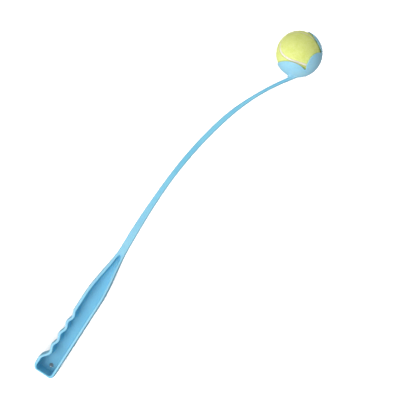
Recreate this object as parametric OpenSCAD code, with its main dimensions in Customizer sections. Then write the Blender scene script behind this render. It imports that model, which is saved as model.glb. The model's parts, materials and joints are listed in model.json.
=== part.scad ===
// Dog ball launcher. A moulded stick with an open tray handle and finger grooves, a bowed shaft that
// whips, and a clawed cup that grips a felt-covered ball. All lengths are in millimetres.
// The stick is drawn in its own middle plane: u runs from the butt along the handle, v to the finger
// side, w up through the tray. It is then laid on a level surface, on its butt and on the ball.

/* [Handle] */
// Length of the handle from its butt to the shaft
handle_len = 219; // [200:1:250]
// Width of the grip from its back to the crests between the fingers
grip_w = 29; // [26:0.5:34]
// Height of the handle from its back face to its rim
handle_h = 27; // [25:1:34]
// Thickness of the wall at the butt, at the tray's rim
butt_wall = 2.8; // [2:0.1:3.6]
// Thickness of the wall on the fingers' side, from its fullest part to the tray's rim
finger_wall = 4.5; // [3.6:0.1:6]
// Thickness of the wall at the back, from its fullest part to the tray's rim
back_wall = 4; // [3.6:0.1:6]
// Thickness of the tray's floor
floor_t = 3; // [2:0.1:4.5]
// Slope of the tray's walls, as the inset of the floor
tray_draft = 0.7; // [0.2:0.1:1.5]
// Fillet between the tray's walls and its floor
tray_fillet = 2; // [0.5:0.1:3]
// Radius of the tray's corner between the butt and the back
tray_corner_r = 4.2; // [3.6:0.1:6]
// Solid length between the tray's point and the shaft
tray_nose = 16; // [8:1:30]
// Length over which the tray closes to its point
tray_close = 14; // [8:1:24]
// Length over which the grip narrows to the shaft
taper_len = 90; // [60:1:92]
// Radius of the rounded edges of the back
back_edge_r = 4; // [2.5:0.1:5]
// How far the sides curve in towards the rim
side_lean = 1.6; // [1:0.1:2.5]
// Height over which they curve in
side_lean_h = 8; // [4:0.5:10]
// How far the butt curves in towards the rim
butt_lean = 1; // [0.4:0.1:1.5]

/* [Finger grip] */
// Number of finger grooves
groove_count = 4; // [3:1:4]
// Distance between finger grooves
groove_pitch = 20; // [17:0.5:22]
// Depth of the finger grooves
groove_depth = 3; // [1.6:0.1:3.6]
// Distance from the butt to the first groove
groove_start = 33; // [30:0.5:36]
// How far the heel stands out past the crests
heel_out = 5.6; // [3:0.1:8]
// Length of the heel's full width, from the butt
heel_len = 18; // [14:0.5:22]
// Corner radius of the heel at the butt
heel_r = 9; // [6:0.5:10.5]
// Corner radius of the back at the butt
butt_r = 5.5; // [4.5:0.5:9]

/* [Hang hole] */
// Radius of the hang hole
hang_r = 3.2; // [2:0.1:4]
// Distance from the butt to the hang hole
hang_u = 11.4; // [10.2:0.1:16]
// Offset of the hang hole from the handle's middle line, away from the fingers
hang_v = 1.4; // [-2:0.1:4]

/* [Shaft] */
// Width of the shaft at the handle, across its bow
root_w = 11; // [9:0.5:14]
// Width of the shaft at mid-length
mid_w = 7.8; // [6:0.1:9]
// Width of the shaft at the cup
neck_w = 4.6; // [4.2:0.1:6]
// Height of the shaft at the handle
root_h = 15; // [12:0.5:18]
// Height of the shaft at the cup
neck_h = 12; // [9:0.5:15]
// Radius of the shaft's edges
shaft_edge_r = 1.8; // [0.8:0.1:2]
// Angle by which the shaft leaves the handle towards the finger side
shaft_lean = 2.7; // [0:0.1:6]
// Length of the bend in which the handle takes up that angle
lean_len = 30; // [20:1:50]
// Length of the gently bowed stretch next to the handle
root_bow_len = 107; // [80:1:140]
// Radius of that stretch
root_bow_r = 1080; // [800:10:1500]
// Length of the middle stretch
mid_bow_len = 116; // [80:1:150]
// Radius of the middle stretch
mid_bow_r = 600; // [450:10:900]
// Length of the most bowed stretch next to the cup
tip_bow_len = 116; // [80:1:150]
// Radius of that stretch
tip_bow_r = 326; // [260:2:450]
// Length over which the root thins to the middle width
root_thin_len = 115; // [60:1:140]
// Length over which the middle thins to the width at the cup
neck_thin_len = 90; // [60:1:130]
// Length of the thinnest stretch, up to the end of the bow
neck_len = 30; // [10:1:60]
// Radius of the fairing under the cup
fairing_r = 50; // [30:1:70]

/* [Cup] */
// Distance from the end of the bow to the foot of the cup's centre on the shaft's line
cup_run = 31.9; // [30:0.1:38]
// Height of the cup's centre over the shaft's line
cup_rise = 29.2; // [25:0.1:30]
// Direction in which the claw opens, from the handle's line
cup_dir = 78; // [65:1:90]
// Thickness of the cup's wall at its bottom
cup_wall = 2.6; // [2:0.1:3.2]
// Thickness of the cup's wall at the tips of the jaws
tip_wall = 1.4; // [1:0.1:1.9]
// Clearance between the ball and the cup
ball_gap = 0.4; // [0.3:0.05:0.8]
// Angle from the opening direction to the tip of the jaw on the shaft's side
rear_tip_deg = 70; // [64:0.5:76]
// Angle from the opening direction to the tip of the front jaw
front_tip_deg = 70; // [64:0.5:76]
// Lean of the rear jaw's edges from the opening direction, at their foot
rear_lean = 8; // [2:0.5:24]
// Lean of the front jaw's edges from the opening direction, at their foot
front_lean = 16; // [2:0.5:24]
// Distance from the cup's middle to the notch between the rear jaw and a side lobe
rear_notch_x = 14.5; // [12:0.5:18]
// Depth of that notch below the cup's centre
rear_notch_y = 22.8; // [20:0.2:24]
// Distance from the cup's middle to the notch between the front jaw and a side lobe
front_notch_x = 21.6; // [18:0.2:22]
// Depth of that notch below the cup's centre
front_notch_y = 21.8; // [19:0.2:23]
// Radius of the notches
notch_r = 1.4; // [0.8:0.1:2]
// Rise of the side lobes above the notches
lobe_rise = 5.9; // [2:0.1:8]

/* [Ball] */
// Diameter of the ball over its felt
ball_d = 64; // [62:0.1:67]
// Thickness of the felt
felt_t = 3.5; // [2.6:0.1:4]
// Wall of the hollow rubber core
core_wall = 3.3; // [2.4:0.1:5]
// Glue line between the felt and the core
glue_t = 0.1; // [0.06:0.01:0.3]
// Width of the seam between the felt panels
seam_w = 3.2; // [1.6:0.1:4]
// Depth of the seam below the felt
seam_sink = 0.7; // [0.2:0.1:1.2]
// Gap between the seam and the panels' edges
seam_gap = 0.2; // [0.18:0.01:0.4]
// Turn of the ball in the cup, about the three axes of the stick
ball_turn = [-72, -52.7, 174.6]; // [-180:0.1:180]

/* [Hidden] */

plastic = [0.49, 0.77, 0.91];
rubber = [0.45, 0.42, 0.38];
felt = [0.84, 0.9, 0.46];
cement = [0.93, 0.92, 0.88];

$fn = 96;
// Points on a rounded edge, on a corner of the butt and on a finger groove
edge_steps = 4;
corner_steps = 6;
groove_steps = 8;
// Stations on the heel's slope, on the plain grip and on the taper
heel_steps = 7;
plain_steps = 2;
taper_steps = 14;
// Share of the handle's half width that a wall may take, and of a tray's that its draft and fillet may take
wall_share = 0.6;
narrow_share = 0.4;
// Where on the tray's closing curve its point is cut off
point_cut = 0.985;
// Rings of the shaft on its bow and on its fairing
bow_rings = 40;
fairing_rings = 8;
// How far the fairing's foot runs under the cup's surface before it is cut off
fairing_bite = 0.8;
// Overlap that lets a cutting solid pass right through
cut = 1;

// Shared shapes
function ease(x, a, b) = let (t = min(1, max(0, (x - a) / (b - a)))) t * t * (3 - 2 * t);
function mix(a, b, t) = a + (b - a) * t;
function reversed(list) = [for (i = [len(list) - 1 : -1 : 0]) list[i]];
function arc(centre, r, from, to, steps) =
    [for (i = [0 : steps]) let (a = mix(from, to, i / steps)) centre + r * [cos(a), sin(a)]];

// Quads between two neighbouring closed loops of n points, as triangles
function band(n, lower, upper) = [
    for (i = [0 : n - 1]) let (j = (i + 1) % n)
        each [[lower + i, upper + i, upper + j], [lower + i, upper + j, lower + j]]
];
function bands(n, loops) = [for (k = [0 : loops - 2]) each band(n, k * n, (k + 1) * n)];
function fan(n, first) = [for (i = [1 : n - 2]) [first, first + i, first + i + 1]];
function flipped(faces) = [for (f = faces) reversed(f)];

// Outline of the handle
taper_start = handle_len - taper_len;
groove_end = groove_start + (groove_count - 0.5) * groove_pitch;
tray_end = handle_len - tray_nose;

function narrowing(u) = ease(u, taper_start, handle_len);
function half_w(u) = mix(grip_w, root_w, narrowing(u)) / 2;
function half_h(u) = mix(handle_h, root_h, narrowing(u)) / 2;
function middle_v(u) = tan(shaft_lean) * pow(max(0, u - handle_len + lean_len), 2) / (2 * lean_len);
function back_v(u) = middle_v(u) - half_w(u);
function groove_v(u) = grip_w / 2 - groove_depth * (1 + cos(360 * (u - groove_start) / groove_pitch)) / 2;
function heel_v(u) =
    mix(grip_w / 2 + heel_out, grip_w / 2 - groove_depth, ease(u, heel_len, groove_start));
function finger_v(u) =
    u < groove_start ? heel_v(u) : u < groove_end ? groove_v(u) : middle_v(u) + half_w(u);

// Stations along the handle beyond the butt's corners; the last ones crowd towards the end
function stations(u_end) = concat(
    [for (i = [1 : heel_steps]) mix(heel_r, groove_start, i / heel_steps)],
    [for (i = [1 : (groove_count - 0.5) * groove_steps]) groove_start + groove_pitch * i / groove_steps],
    [for (i = [1 : plain_steps]) mix(groove_end, taper_start, i / plain_steps)],
    [for (i = [1 : taper_steps]) mix(taper_start, u_end, sin(90 * i / taper_steps))]
);
function finger_side(u_end) = concat(
    arc([heel_r, heel_v(heel_r) - heel_r], heel_r, 180, 90, corner_steps),
    [for (u = stations(u_end)) [u, finger_v(u)]]
);
function back_side(u_end) = concat(
    arc([butt_r, back_v(butt_r) + butt_r], butt_r, 180, 270, corner_steps),
    [for (u = stations(u_end)) [u, back_v(u)]]
);
function outline(u_end) = concat(finger_side(u_end), reversed(back_side(u_end)));

side_points = corner_steps + 1 + len(stations(handle_len));
loop_points = 2 * side_points;

// Unit vector into the handle at point i of a loop; at the shaft's end it runs straight across
function inward(loop, i) =
    i == side_points - 1 ? [0, -1] : i == side_points ? [0, 1] :
    let (t = loop[(i + 1) % loop_points] - loop[(i + loop_points - 1) % loop_points])
        [t[1], -t[0]] / norm(t);
function half_gap(loop, i) = norm(loop[i] - loop[loop_points - 1 - i]) / 2;
// Point i of a loop, moved in by one length along the handle and by another across it
function moved_in(loop, i, along_u, along_v) = let (n = inward(loop, i))
    loop[i] + [along_u * n[0], along_v * n[1]];
function inset(loop, d) = [
    for (i = [0 : loop_points - 1]) let (most = min(d, narrow_share * half_gap(loop, i)))
        moved_in(loop, i, most, most)
];
// The tray's outline: the handle's own, a wall's thickness inside it, drawn together to a rounded point
function closing(u) = sqrt(1 - pow(point_cut * max(0, u - tray_end + tray_close) / tray_close, 2));
tray_base = outline(tray_end);
tray_walls = concat(
    [
        for (i = [0 : loop_points - corner_steps - 2])
            let (wall = i < side_points ? finger_wall : back_wall, most = wall_share * half_gap(tray_base, i))
                moved_in(tray_base, i, min(butt_wall, most), min(wall, most))
    ],
    reversed(arc(
        [butt_wall + tray_corner_r, back_v(0) + back_wall + tray_corner_r],
        tray_corner_r, 180, 270, corner_steps
    ))
);
tray_outline = [
    for (i = [0 : loop_points - 1])
        let (p = tray_walls[i], m = middle_v(p[0]))
            [p[0], p[0] > tray_end - tray_close ? m + (p[1] - m) * closing(p[0]) : p[1]]
];

function edge_r(r, u) = mix(r, shaft_edge_r, narrowing(u));
// Loops of the outside: up round the back's edge, then in over the curved upper wall
outer_outline = outline(handle_len);
function outer_loop(along_u, along_v, along_w, side, a) = [
    for (i = [0 : loop_points - 1])
        let (
            u = outer_outline[i][0],
            f = 1 - sin(a),
            q = moved_in(outer_outline, i, f * edge_r(along_u, u), f * edge_r(along_v, u))
        )
        [q[0], q[1], side * (half_h(u) - edge_r(along_w, u) * (1 - cos(a)))]
];
function tray_loop(inset_by, above_floor) = let (loop = inset(tray_outline, inset_by))
    [for (p = loop) [p[0], p[1], floor_t - half_h(p[0]) + above_floor]];

handle_loops = concat(
    [
        for (i = [0 : edge_steps])
            outer_loop(back_edge_r, back_edge_r, back_edge_r, -1, 90 * i / edge_steps)
    ],
    [
        for (i = [edge_steps : -1 : 0])
            outer_loop(butt_lean, side_lean, side_lean_h, 1, 90 * i / edge_steps)
    ],
    [[for (p = tray_outline) [p[0], p[1], half_h(p[0])]]],
    [
        for (i = [0 : edge_steps]) let (a = 90 * i / edge_steps)
            tray_loop(tray_draft + tray_fillet * (1 - cos(a)), tray_fillet * (1 - sin(a)))
    ]
);
// Flat ends of the loops: strips between the two sides of the handle
function strips(first) = [
    for (i = [0 : side_points - 2])
        let (a = first + i, b = first + loop_points - 1 - i)
            each [[a, a + 1, b - 1], [a, b - 1, b]]
];

module handle_body() {
    last = (len(handle_loops) - 1) * loop_points;
    polyhedron(
        points = [for (loop = handle_loops) each loop],
        faces = concat(
            flipped(strips(0)),
            flipped(bands(loop_points, len(handle_loops))),
            strips(last)
        )
    );
}

module handle() {
    color(plastic) lay() difference() {
        handle_body();
        translate([hang_u, -hang_v, -handle_h / 2 - cut]) cylinder(r = hang_r, h = handle_h);
    }
}

// Middle line of the shaft: three arcs that turn away from the finger side, then a straight run
bow_len = root_bow_len + mid_bow_len + tip_bow_len;
function turn(len, r) = len / r * 180 / PI;
function along(p, a, r, s) = let (b = a - turn(s, r)) p + r * [sin(a) - sin(b), cos(b) - cos(a)];
root_a = shaft_lean;
mid_a = root_a - turn(root_bow_len, root_bow_r);
tip_a = mid_a - turn(mid_bow_len, mid_bow_r);
end_a = tip_a - turn(tip_bow_len, tip_bow_r);
root_p = [handle_len, middle_v(handle_len)];
mid_p = along(root_p, root_a, root_bow_r, root_bow_len);
tip_p = along(mid_p, mid_a, mid_bow_r, mid_bow_len);
end_p = along(tip_p, tip_a, tip_bow_r, tip_bow_len);

function shaft_point(s) =
    s < root_bow_len ? along(root_p, root_a, root_bow_r, s) :
    s < root_bow_len + mid_bow_len ? along(mid_p, mid_a, mid_bow_r, s - root_bow_len) :
    s < bow_len ? along(tip_p, tip_a, tip_bow_r, s - root_bow_len - mid_bow_len) :
    end_p + (s - bow_len) * end_along;
function shaft_angle(s) =
    s == 0 ? 0 :
    s < root_bow_len ? root_a - turn(s, root_bow_r) :
    s < root_bow_len + mid_bow_len ? mid_a - turn(s - root_bow_len, mid_bow_r) :
    s < bow_len ? tip_a - turn(s - root_bow_len - mid_bow_len, tip_bow_r) : end_a;
function shaft_w(s) =
    mix(root_w, mid_w, ease(s, 0, root_thin_len)) +
    (neck_w - mid_w) * ease(s, bow_len - neck_len - neck_thin_len, bow_len - neck_len);
function shaft_h(s) = mix(root_h, neck_h, ease(s, 0, bow_len));

// The cup's centre and radii
ball_r = ball_d / 2;
cup_in_r = ball_r + ball_gap;
end_along = [cos(end_a), sin(end_a)];
end_across = [-sin(end_a), cos(end_a)];
cup_c = end_p + cup_run * end_along + cup_rise * end_across;
// The wall thins from the bottom to the tips, because its outer sphere is set back from its inner one
cup_back = (cup_wall - tip_wall) / (1 + cos((rear_tip_deg + front_tip_deg) / 2));
cup_out_r = cup_in_r + cup_wall - cup_back;
outer_c = cup_c - cup_back * [cos(cup_dir), sin(cup_dir)];

// The fairing: an arc from the shaft's underside that runs out along the cup
fairing_reach = cup_out_r - fairing_bite + fairing_r;
fairing_a = acos(((outer_c - end_p) * end_across + neck_w / 2 + fairing_r) / fairing_reach);
fairing_start = bow_len + (outer_c - end_p) * end_along - fairing_reach * sin(fairing_a);
fairing_end = fairing_start + fairing_r * sin(fairing_a);
function fairing_drop(s) =
    s < fairing_start ? 0 : fairing_r - sqrt(pow(fairing_r, 2) - pow(s - fairing_start, 2));

shaft_stations = concat(
    [for (i = [0 : bow_rings]) fairing_start * i / bow_rings],
    [for (i = [1 : fairing_rings]) mix(fairing_start, fairing_end, i / fairing_rings)]
);
// Section of the shaft across its middle line: a rectangle with rounded corners
function section(left, right, half_h) = let (r = shaft_edge_r) concat(
    arc([left - r, half_h - r], r, 0, 90, edge_steps),
    arc([r - right, half_h - r], r, 90, 180, edge_steps),
    arc([r - right, r - half_h], r, 180, 270, edge_steps),
    arc([left - r, r - half_h], r, 270, 360, edge_steps)
);
function shaft_ring(s) = let (p = shaft_point(s), a = shaft_angle(s), half = shaft_w(s) / 2) [
    for (q = section(half, half + fairing_drop(s), shaft_h(s) / 2))
        [p[0] - q[0] * sin(a), p[1] + q[0] * cos(a), q[1]]
];

module shaft_body() {
    rings = [for (s = shaft_stations) shaft_ring(s)];
    n = len(rings[0]);
    polyhedron(
        points = [for (ring = rings) each ring],
        faces = concat(fan(n, 0), bands(n, len(rings)), flipped(fan(n, n * (len(rings) - 1))))
    );
}

module shaft() {
    color(plastic) lay() difference() {
        shaft_body();
        translate(outer_c) sphere(r = cup_out_r);
    }
}

// What the claw leaves open, seen from the side: x towards the front jaw, y along the opening direction
jaw_r = cup_in_r + tip_wall / 2;
clear_r = cup_in_r + cup_wall + cut;
jaw_steps = 12;
// A notch's arc starts inside the lobe, whose edge crosses it a little above its lowest point
notch_from = -160;
notch_steps = 6;
notch_lift = 0.3;
// How far a jaw's edge is carried on past its tip, as a share of its length, to cut right through
past_tip = 0.25;
// Point a share f along the arc that leaves p at angle a and runs to q
function arc_point(p, a, q, f) =
    let (c = q - p, bend = atan2(c[1], c[0]) - a, reach = bend == 0 ? f : sin(f * bend) / sin(bend))
        p + norm(c) * reach * [cos(a + f * bend), sin(a + f * bend)];
// One side of the opening, from its notch up along the jaw's edge, which is an arc to the jaw's tip
function jaw_side(notch_x, notch_y, tip_deg, lean) =
    let (
        notch = arc([notch_x - notch_r, -notch_y], notch_r, notch_from, -lean, notch_steps),
        foot = notch[notch_steps],
        tip = jaw_r * [sin(tip_deg), cos(tip_deg)],
        edge = [
            for (i = [1 : jaw_steps])
                arc_point(foot, 90 - lean, tip, (1 + past_tip) * i / jaw_steps)
        ]
    )
    concat(notch, edge, [[edge[jaw_steps - 1][0], clear_r]]);
function mirrored(points) = [for (p = reversed(points)) [-p[0], p[1]]];

// A side lobe: the circle that stands a given rise above the line from a to b
module lobe(a, b, rise) {
    half = norm(b - a) / 2;
    r = (half * half + rise * rise) / (2 * rise);
    translate((a + b) / 2) rotate(atan2(b[1] - a[1], b[0] - a[0])) translate([0, rise - r])
        circle(r = r);
}

module claw_opening() {
    difference() {
        polygon(concat(
            jaw_side(front_notch_x, front_notch_y, front_tip_deg, front_lean),
            mirrored(jaw_side(rear_notch_x, rear_notch_y, rear_tip_deg, rear_lean))
        ));
        lobe(
            [notch_r - rear_notch_x, notch_lift - rear_notch_y - notch_r],
            [front_notch_x - notch_r, notch_lift - front_notch_y - notch_r],
            lobe_rise
        );
    }
}

// A sphere with its poles along the opening direction
module turned_sphere(r) {
    rotate([90, 0, 0]) sphere(r = r);
}

module cup() {
    color(plastic) lay() translate(cup_c) rotate([0, 0, cup_dir - 90]) difference() {
        translate([0, -cup_back, 0]) turned_sphere(cup_out_r);
        turned_sphere(cup_in_r);
        translate([0, 0, -clear_r]) linear_extrude(2 * clear_r) claw_opening();
    }
}

// The ball, drawn about its own centre
core_r = ball_r - felt_t - glue_t;
module ball_place() {
    lay() translate(cup_c) children();
}

module core_half(side) {
    color(rubber) ball_place() difference() {
        sphere(r = core_r);
        sphere(r = core_r - core_wall);
        translate([0, 0, -side * ball_r]) cube(2 * ball_r, center = true);
    }
}
module ball_core_upper() { core_half(1); }
module ball_core_lower() { core_half(-1); }

// The seam is a closed curve on the sphere: two waves round the ball, in unit radius
seam_a = 0.75;
seam_b = 0.25;
seam_c = 2 * sqrt(seam_a * seam_b);
function seam_dir(t) = [
    seam_a * cos(t) + seam_b * cos(3 * t),
    seam_a * sin(t) - seam_b * sin(3 * t),
    seam_c * sin(2 * t)
];
function unit(v) = v / norm(v);
// Direction a given angle along the great circle from a to b
function swing(a, b, deg) = let (n = unit(cross(a, b))) a * cos(deg) + cross(n, a) * sin(deg);
function angle_between(a, b) = acos(min(1, max(-1, a * b)));
seam_steps = 96;
seam_step_deg = 360 / seam_steps;
// Unit vector across the seam, towards the first panel
function seam_across(t) =
    unit(cross(seam_dir(t), seam_dir(t + seam_step_deg) - seam_dir(t - seam_step_deg)));

// A felt panel: rows across the dog-bone, between edges that keep clear of the seam
panel_rows = 36;
panel_cols = 14;
panel_edge_deg = (seam_w / 2 + seam_gap) / ball_r * 180 / PI;
// How far the last row lies from the turning point of the seam
panel_end_deg = 3;
// Half the widest diagonal of a panel's facets, which sets how far they cut in
facet_deg = 6.5;
felt_in_r = (core_r + glue_t) / cos(facet_deg);
function panel_edge(t) = swing(seam_dir(t), seam_across(t), panel_edge_deg);
function panel_row(tau) =
    let (a = panel_edge(45 + tau), b = panel_edge(225 - tau), span = angle_between(a, b))
        [for (j = [0 : panel_cols]) swing(a, b, span * j / panel_cols)];
panel_dirs = [
    for (i = [0 : panel_rows])
        each panel_row(mix(panel_end_deg - 90, 90 - panel_end_deg, i / panel_rows))
];
panel_points = len(panel_dirs);
function grid_faces(first) = [
    for (i = [0 : panel_rows - 1], j = [0 : panel_cols - 1])
        let (a = first + i * (panel_cols + 1) + j, b = a + panel_cols + 1)
            each [[a, b, b + 1], [a, b + 1, a + 1]]
];
panel_rim = concat(
    [for (j = [0 : panel_cols - 1]) j],
    [for (i = [0 : panel_rows - 1]) i * (panel_cols + 1) + panel_cols],
    [for (j = [panel_cols : -1 : 1]) panel_rows * (panel_cols + 1) + j],
    [for (i = [panel_rows : -1 : 1]) i * (panel_cols + 1)]
);
function rim_faces(n) = [
    for (i = [0 : n - 1])
        let (a = panel_rim[i], b = panel_rim[(i + 1) % n])
            each [[b, a, a + panel_points], [b, a + panel_points, b + panel_points]]
];

module felt_panel(flip) {
    color(felt) ball_place() rotate(ball_turn) rotate([flip, 0, 0]) polyhedron(
        points = concat(ball_r * panel_dirs, felt_in_r * panel_dirs),
        faces = concat(
            flipped(grid_faces(0)),
            grid_faces(panel_points),
            rim_faces(len(panel_rim))
        )
    );
}
module felt_panel_a() { felt_panel(0); }
module felt_panel_b() { felt_panel(180); }

// The seam's cement: a flat band along the seam, between the core and just below the felt
function seam_ring(t) =
    let (
        d = seam_dir(t),
        side = seam_across(t) * seam_w / 2 / ball_r,
        low = felt_in_r,
        high = ball_r - seam_sink
    )
    [low * (d - side), high * (d - side), high * (d + side), low * (d + side)];

module ball_seam() {
    rings = [for (i = [0 : seam_steps - 1]) seam_ring(i * seam_step_deg)];
    n = len(rings[0]);
    count = len(rings) * n;
    color(cement) ball_place() rotate(ball_turn) polyhedron(
        points = [for (ring = rings) each ring],
        faces = [
            for (k = [0 : seam_steps - 1], i = [0 : n - 1])
                let (a = k * n + i, b = k * n + (i + 1) % n, c = (a + n) % count, d = (b + n) % count)
                    each [[a, d, c], [a, b, d]]
        ]
    );
}

// Laying the stick down: the butt's rounded edge and the ball both touch the surface
rest_h = handle_h / 2 - back_edge_r;
rest_u = cup_c[0] - back_edge_r;
lay_deg = asin((ball_r - back_edge_r) / norm([rest_u, rest_h])) - atan2(rest_h, rest_u);
low_x = -(handle_h / 2 - side_lean_h) * sin(lay_deg);
high_x = outer_c[0] * cos(lay_deg) + cup_out_r;
low_y = outer_c[1] - cup_out_r;
high_y = grip_w / 2 + heel_out;
rest_z = ball_r - cup_c[0] * sin(lay_deg);

module lay() {
    translate([-(low_x + high_x) / 2, -(low_y + high_y) / 2, rest_z])
        rotate([0, -lay_deg, 0]) children();
}

handle();
shaft();
cup();
ball_core_upper();
ball_core_lower();
felt_panel_a();
felt_panel_b();
ball_seam();
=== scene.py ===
"""Dresses the ball launcher: an open tray handle, a bowed shaft and a clawed cup, moulded in one piece of
light-blue plastic, and the felt ball that the cup grips.
Lengths are in millimetres on the stick's own axes until laid() puts them in the frame."""
import json

import bpy
import numpy as np
from mathutils import Matrix


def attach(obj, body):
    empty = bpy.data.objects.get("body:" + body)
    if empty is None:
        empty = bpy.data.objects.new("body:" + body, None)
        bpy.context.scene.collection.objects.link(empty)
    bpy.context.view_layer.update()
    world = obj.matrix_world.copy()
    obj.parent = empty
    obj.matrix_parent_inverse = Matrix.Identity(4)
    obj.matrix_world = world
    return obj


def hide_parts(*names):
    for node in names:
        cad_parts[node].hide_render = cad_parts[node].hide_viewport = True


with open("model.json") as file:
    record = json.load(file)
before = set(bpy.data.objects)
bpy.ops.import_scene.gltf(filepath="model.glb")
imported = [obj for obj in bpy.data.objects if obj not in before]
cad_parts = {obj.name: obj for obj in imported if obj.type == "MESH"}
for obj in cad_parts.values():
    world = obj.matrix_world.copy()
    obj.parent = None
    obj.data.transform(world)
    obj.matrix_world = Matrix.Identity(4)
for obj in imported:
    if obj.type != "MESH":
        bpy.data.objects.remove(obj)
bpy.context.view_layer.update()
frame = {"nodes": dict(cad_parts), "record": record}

# Camera. The photograph looks straight down into the tray, from about a metre away, with the handle at the
# lower left and the cup at the upper right.
# The stick's axes are u from the butt along the handle, v to the finger side and w up out of the tray.
MM = 0.001
HANDLE_H, FLOOR_T = 27.0, 3.0
HANG_U, HANG_V = 11.4, -1.4
VIEW_U, VIEW_V, VIEW_H = 332.4, -53.3, 1118.0
# How much of the stick's middle plane the picture takes in, and the rise of the handle's line in it
VIEW_ACROSS = 580.0
VIEW_RISE = np.radians(57.2)

hang_hole = frame["record"]["mounts"][0]
w_axis = np.array(hang_hole["axis"])
u_axis = np.array([w_axis[2], 0.0, -w_axis[0]])
stick_axes = np.array([u_axis, [0.0, 1.0, 0.0], w_axis])
# The hang hole's place is half-way through the tray's floor
butt = np.array(hang_hole["pos_m"]) - MM * np.array([HANG_U, HANG_V, (FLOOR_T - HANDLE_H) / 2]) @ stick_axes


def laid(points):
    """Millimetres on the stick's axes, as metres in the frame: the butt plus each length along its axis."""
    return butt + MM * np.asarray(points) @ stick_axes


scene = bpy.context.scene
camera_data = bpy.data.cameras.new("camera")
camera_data.lens = camera_data.sensor_width * VIEW_H / VIEW_ACROSS
camera = bpy.data.objects.new("camera", camera_data)
rise_cos, rise_sin = np.cos(VIEW_RISE), np.sin(VIEW_RISE)
picture_axes = np.array([[rise_cos, -rise_sin, 0.0], [rise_sin, rise_cos, 0.0], [0.0, 0.0, 1.0]])
place = np.eye(4)
place[:3, :3] = (picture_axes @ stick_axes).T
place[:3, 3] = laid([VIEW_U, VIEW_V, VIEW_H])
camera.matrix_world = Matrix(place.tolist())
scene.collection.objects.link(camera)
scene.camera = camera

# Handle. The near end of the moulding: a tray that is open on one side, with a heel, four finger grooves,
# full sides that curve in to a flat rim, and a hole to hang it by. It runs into the shaft without a joint.
HANDLE_LEN = 219.0
GRIP_W = 29.0
ROOT_W, ROOT_H = 11.0, 15.0
TAPER_LEN = 90.0
# Thickness of the walls at their fullest, and how far in, over what height, the outside curves to the rim
BUTT_WALL, FINGER_WALL, BACK_WALL = 2.8, 4.5, 4.0
BUTT_LEAN, SIDE_LEAN, LEAN_H = 1.0, 1.6, 8.0
TRAY_NOSE, TRAY_CLOSE = 16.0, 9.0
TRAY_DRAFT, TRAY_FILLET, TRAY_CORNER_R = 0.7, 2.0, 4.2
BACK_EDGE_R, LIP_R = 4.0, 0.6
SHAFT_EDGE_R = 1.8
GROOVE_START, GROOVE_PITCH, GROOVE_DEPTH, GROOVE_COUNT = 33.0, 20.0, 3.0, 4
HEEL_OUT, HEEL_LEN, HEEL_R, BUTT_R = 5.6, 18.0, 9.0, 5.5
LEAN, LEAN_LEN = np.tan(np.radians(2.7)), 30.0
HANG_R, HANG_LIP = 3.2, 0.5
TRAY_END = HANDLE_LEN - TRAY_NOSE
TAPER_START = HANDLE_LEN - TAPER_LEN
GROOVE_END = GROOVE_START + (GROOVE_COUNT - 0.5) * GROOVE_PITCH
# Where the tray's closing curve is cut off at its point, and the most that the walls may take of the handle's
# half width, and an inset of the tray's
POINT_CUT, FINGER_SHARE, BACK_SHARE, NARROW_SHARE = 0.97, 0.56, 0.46, 0.4
# Cells across the handle, and its stations along the heel, the grooves and the plain grip, and the taper
ACROSS, GRIP_STATIONS, TAPER_STATIONS = 26, (18, 70, 14), 60


def ease(x, a, b):
    """0 up to a, 1 from b, and a smooth S between them: 3t^2 - 2t^3."""
    t = np.clip((x - a) / (b - a), 0.0, 1.0)
    return t * t * (3.0 - 2.0 * t)


def mix(a, b, t):
    """a at t = 0, b at t = 1, straight between."""
    return a + (b - a) * t


def narrowing(u):
    """0 on the grip and 1 at the shaft."""
    return ease(u, TAPER_START, HANDLE_LEN)


def half_w(u):
    """Half the handle's width, which narrows from the grip's to the shaft's."""
    return mix(GRIP_W, ROOT_W, narrowing(u)) / 2


def half_h(u):
    """Half the handle's height, which falls from the grip's to the shaft's."""
    return mix(HANDLE_H, ROOT_H, narrowing(u)) / 2


def middle_v(u):
    """The handle's middle line: straight, then a parabola that ends at the shaft's lean."""
    return LEAN * np.maximum(0.0, u - HANDLE_LEN + LEAN_LEN) ** 2 / (2 * LEAN_LEN)


def back_v(u):
    """The back's line, half a width below the middle line."""
    return middle_v(u) - half_w(u)


def finger_v(u):
    """The fingers' line: the heel's slope, then cosine grooves, then half a width above the middle line."""
    heel = mix(GRIP_W / 2 + HEEL_OUT, GRIP_W / 2 - GROOVE_DEPTH, ease(u, HEEL_LEN, GROOVE_START))
    turn = 2 * np.pi * (u - GROOVE_START) / GROOVE_PITCH
    grooves = GRIP_W / 2 - GROOVE_DEPTH * (1 + np.cos(turn)) / 2
    return np.where(u < GROOVE_START, heel, np.where(u < GROOVE_END, grooves, middle_v(u) + half_w(u)))


def stations(u_end):
    """Places along the handle beyond the butt's corners: even to the taper, then closer towards the end."""
    ends = (HEEL_R, GROOVE_START, GROOVE_END, TAPER_START)
    even = [np.linspace(a, b, count + 1)[1:] for a, b, count in zip(ends, ends[1:], GRIP_STATIONS)]
    crowd = np.sin(np.linspace(0, np.pi / 2, TAPER_STATIONS + 1))[1:]
    return np.concatenate([*even, mix(TAPER_START, u_end, crowd)])


# Points of the butt's corners, and how many of them lie between the smaller corner's end and the larger's
CORNER_POINTS, CORNER_REST = 15, 3


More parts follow.
